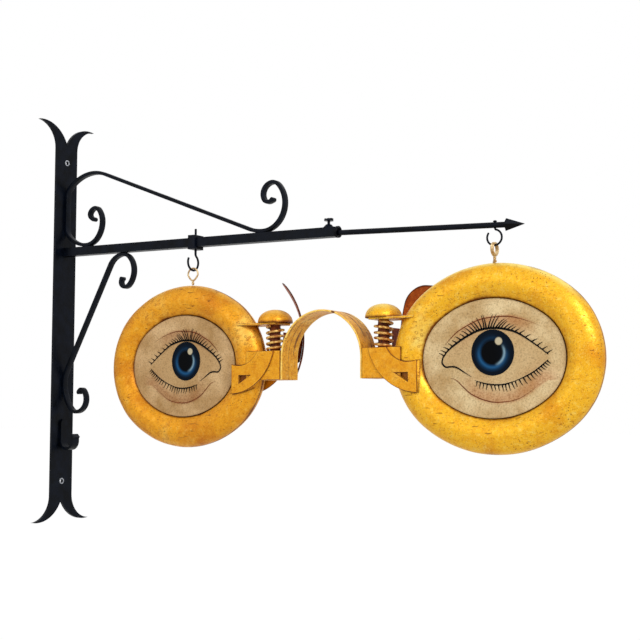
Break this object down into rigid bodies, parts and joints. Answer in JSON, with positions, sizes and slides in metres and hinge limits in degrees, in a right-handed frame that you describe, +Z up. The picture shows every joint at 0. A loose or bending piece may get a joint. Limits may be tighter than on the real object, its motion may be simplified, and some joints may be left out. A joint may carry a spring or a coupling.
{
  "type": "optical shop sign",
  "caption": "Oversized gilded pince-nez with painted eyes, hung from two hooks on a scrolled iron wall bracket whose arm draws out.",
  "frame": {"origin": "centre of the wall plate's back face, midway between its two screw holes", "axes": "+X out from the wall along the arm, +Z up, the street side towards -Y"},
  "size_m": [0.8995, 0.1682, 0.643],
  "materials": {
    "black iron": "black paint on forged iron, satin",
    "bright gold": "gold leaf and gold paint over sheet metal, satin, aged",
    "old gold": "darker aged gold paint over sheet metal, satin",
    "cream paint": "aged cream sign paint, matte",
    "gold wire": "gilded steel wire, satin",
    "rust-red iron": "orange-red primer and rust on sheet iron, matte",
    "red-brown iron": "dark red-brown painted iron, matte"
  },
  "bodies": {
    "bracket": {"wall_plate": "black iron", "arm_tube": "black iron", "tube_collar": "black iron", "screw_boss": "black iron", "upper_brace": "black iron", "lower_brace": "black iron", "cord_cleat": "black iron"},
    "thumbscrew": {"screw_shank": "black iron", "screw_knob": "black iron"},
    "rod": {"extension_rod": "black iron", "arrow_point": "black iron", "rod_hook": "black iron"},
    "sleeve": {"arm_sleeve": "black iron", "sleeve_hook": "black iron", "sleeve_pin": "black iron"},
    "sign": {"bridge_arch": "bright gold", "left_front_shell": "old gold", "left_back_shell": "old gold", "left_front_panel": "cream paint", "left_back_panel": "cream paint", "left_hanging_eye": "gold wire", "left_block": "old gold", "left_front_cheek": "old gold", "left_back_cheek": "old gold", "left_post": "red-brown iron", "left_spring": "gold wire", "left_tie_plate": "old gold", "left_dome": "old gold", "left_pad_arm": "red-brown iron", "left_nose_pad": "rust-red iron", "right_front_shell": "bright gold", "right_back_shell": "bright gold", "right_front_panel": "cream paint", "right_back_panel": "cream paint", "right_hanging_eye": "gold wire", "right_block": "bright gold", "right_front_cheek": "bright gold", "right_back_cheek": "bright gold", "right_post": "red-brown iron", "right_spring": "gold wire", "right_tie_plate": "bright gold", "right_dome": "bright gold", "right_pad_arm": "red-brown iron", "right_nose_pad": "rust-red iron"}
  },
  "joints": [
    {"name": "rod_slide", "type": "slide", "parent": "bracket", "child": "rod", "axis": [0.9991, 0, -0.0422], "range_m": [-0.045, 0]},
    {"name": "sleeve_slide", "type": "slide", "parent": "bracket", "child": "sleeve", "axis": [0.9998, 0, -0.0192], "range_m": [-0.045, 0]},
    {"name": "sign_swing", "type": "hinge", "parent": "rod", "child": "sign", "pos_m": [0.2755, -0.0055, 0.065], "axis": [0.9999, 0.0114, 0], "range_deg": [-30, 30]},
    {"name": "screw_turn", "type": "hinge", "parent": "bracket", "child": "thumbscrew", "pos_m": [0.51091, 0, 0.10089], "axis": [0.0192, 0, 0.9998], "range_deg": [0, 720]}
  ],
  "couplings": [
    {"joint": "sleeve_slide", "follows": "rod_slide", "ratio": 1}
  ]
}
